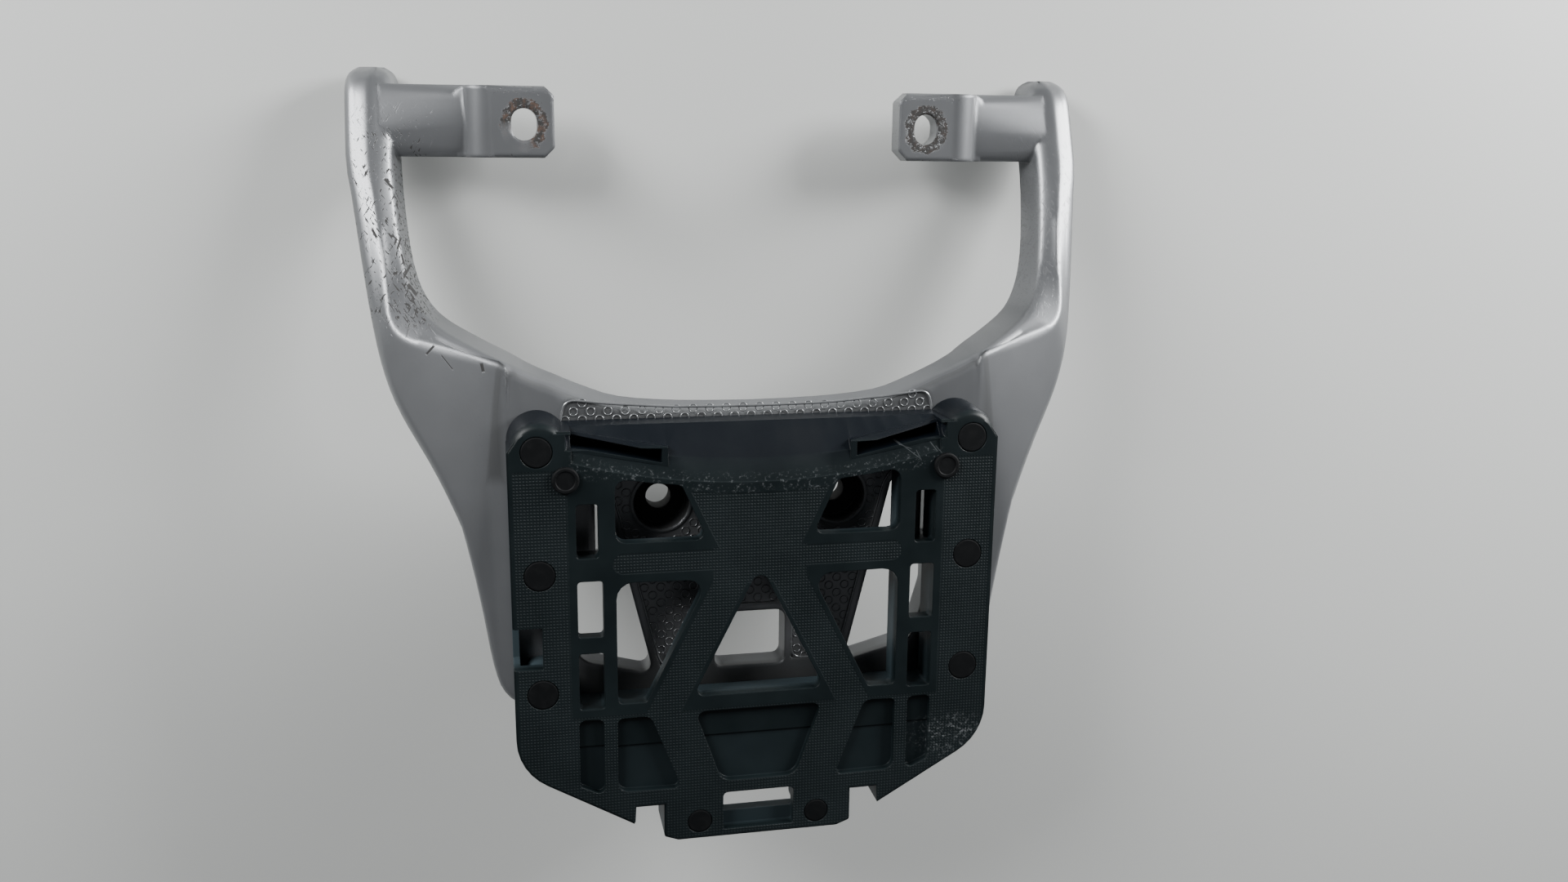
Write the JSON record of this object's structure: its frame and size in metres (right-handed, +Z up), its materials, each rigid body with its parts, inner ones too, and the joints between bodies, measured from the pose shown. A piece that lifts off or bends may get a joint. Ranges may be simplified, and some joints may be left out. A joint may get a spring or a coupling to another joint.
{
  "type": "motorcycle luggage rack",
  "caption": "Cast rear carrier with drooping grip arms and slotted tabs, carrying a black ribbed top-case plate.",
  "frame": {"origin": "midway between the two centre bolt holes, on the face of the casting that sits on the seat rails", "axes": "+X to the rider's right, +Y forward along the grips, +Z up out of the case plate"},
  "size_m": [0.374, 0.3695, 0.123],
  "materials": {
    "painted_casting": "silver paint over cast aluminium, worn",
    "black_plate": "moulded with a fine raised grid",
    "rubber_pad": "satin",
    "rubber_buffer": "satin",
    "steel_fastener": "zinc plated"
  },
  "bodies": {
    "root": {"cast_rack": "painted_casting", "case_plate": "black_plate", "pad_front_left": "rubber_pad", "pad_front_right": "rubber_pad", "pad_mid_left": "rubber_pad", "pad_mid_right": "rubber_pad", "pad_rear_left": "rubber_pad", "pad_rear_right": "rubber_pad", "pad_tail_left": "rubber_pad", "pad_tail_right": "rubber_pad", "buffer_left": "rubber_buffer", "buffer_right": "rubber_buffer", "screw_front_left": "steel_fastener", "screw_front_right": "steel_fastener", "screw_rear_left": "steel_fastener", "screw_rear_right": "steel_fastener", "washer_front_left": "steel_fastener", "washer_front_right": "steel_fastener", "washer_rear_left": "steel_fastener", "washer_rear_right": "steel_fastener", "nut_front_left": "steel_fastener", "nut_front_right": "steel_fastener", "nut_rear_left": "steel_fastener", "nut_rear_right": "steel_fastener"}
  },
  "joints": []
}
